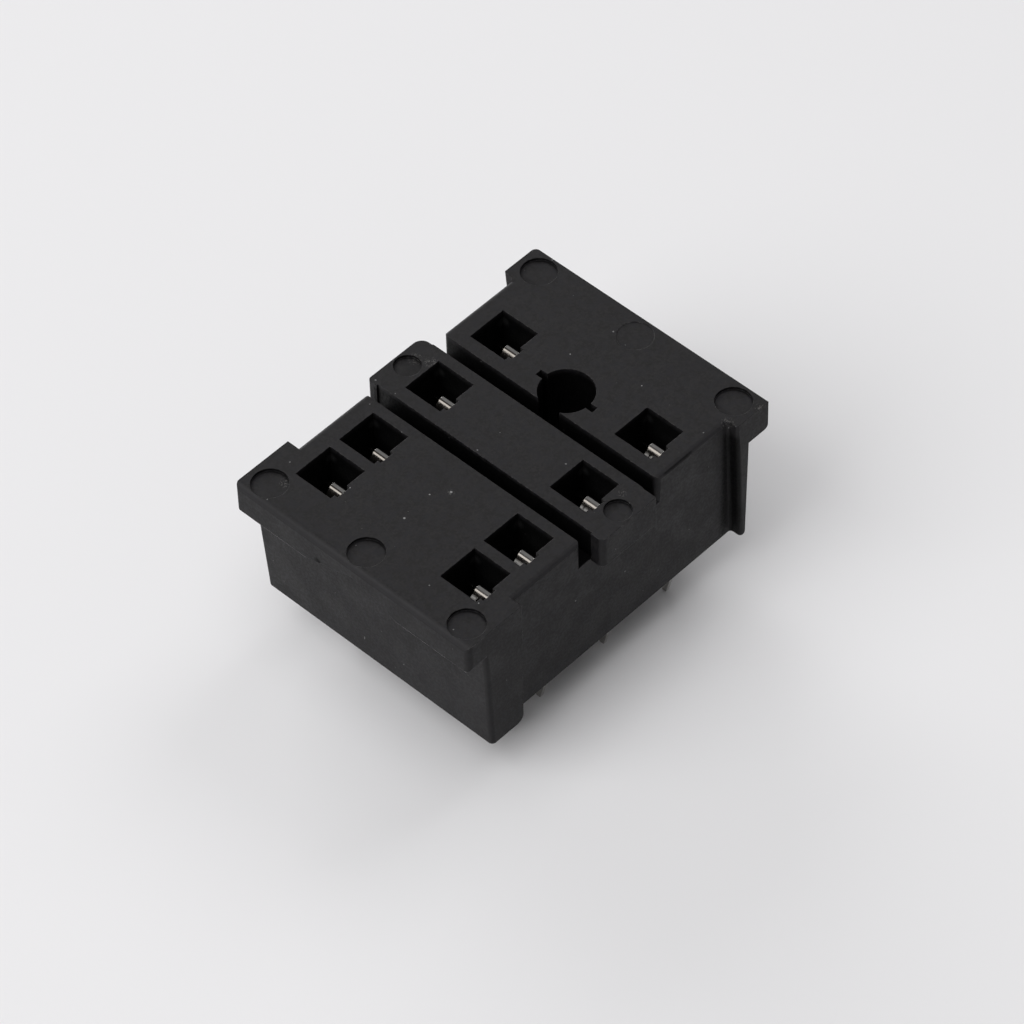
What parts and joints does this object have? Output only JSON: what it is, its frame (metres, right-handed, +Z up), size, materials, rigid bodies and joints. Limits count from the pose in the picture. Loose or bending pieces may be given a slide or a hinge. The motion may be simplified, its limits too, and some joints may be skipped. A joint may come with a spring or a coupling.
{
  "type": "relay socket",
  "caption": "Black moulded circuit-board socket for a two-pole plug-in relay, with spring contacts, solder tails, cross slots and a keyed centre hole.",
  "frame": {"origin": "under the middle of the body, level with the tips of the solder tails", "axes": "+X along the socket from the changeover end to the coil end, +Y to the left across it, +Z up out of the relay side"},
  "size_m": [0.029, 0.0214, 0.0157],
  "materials": {
    "housing_plastic": "fine spark-eroded texture",
    "tinned_metal": "bright tin plating"
  },
  "bodies": {
    "root": {"housing": "housing_plastic", "contact_nc_left": "tinned_metal", "contact_nc_right": "tinned_metal", "contact_no_left": "tinned_metal", "contact_no_right": "tinned_metal", "contact_com_left": "tinned_metal", "contact_com_right": "tinned_metal", "contact_coil_left": "tinned_metal", "contact_coil_right": "tinned_metal"}
  },
  "joints": []
}
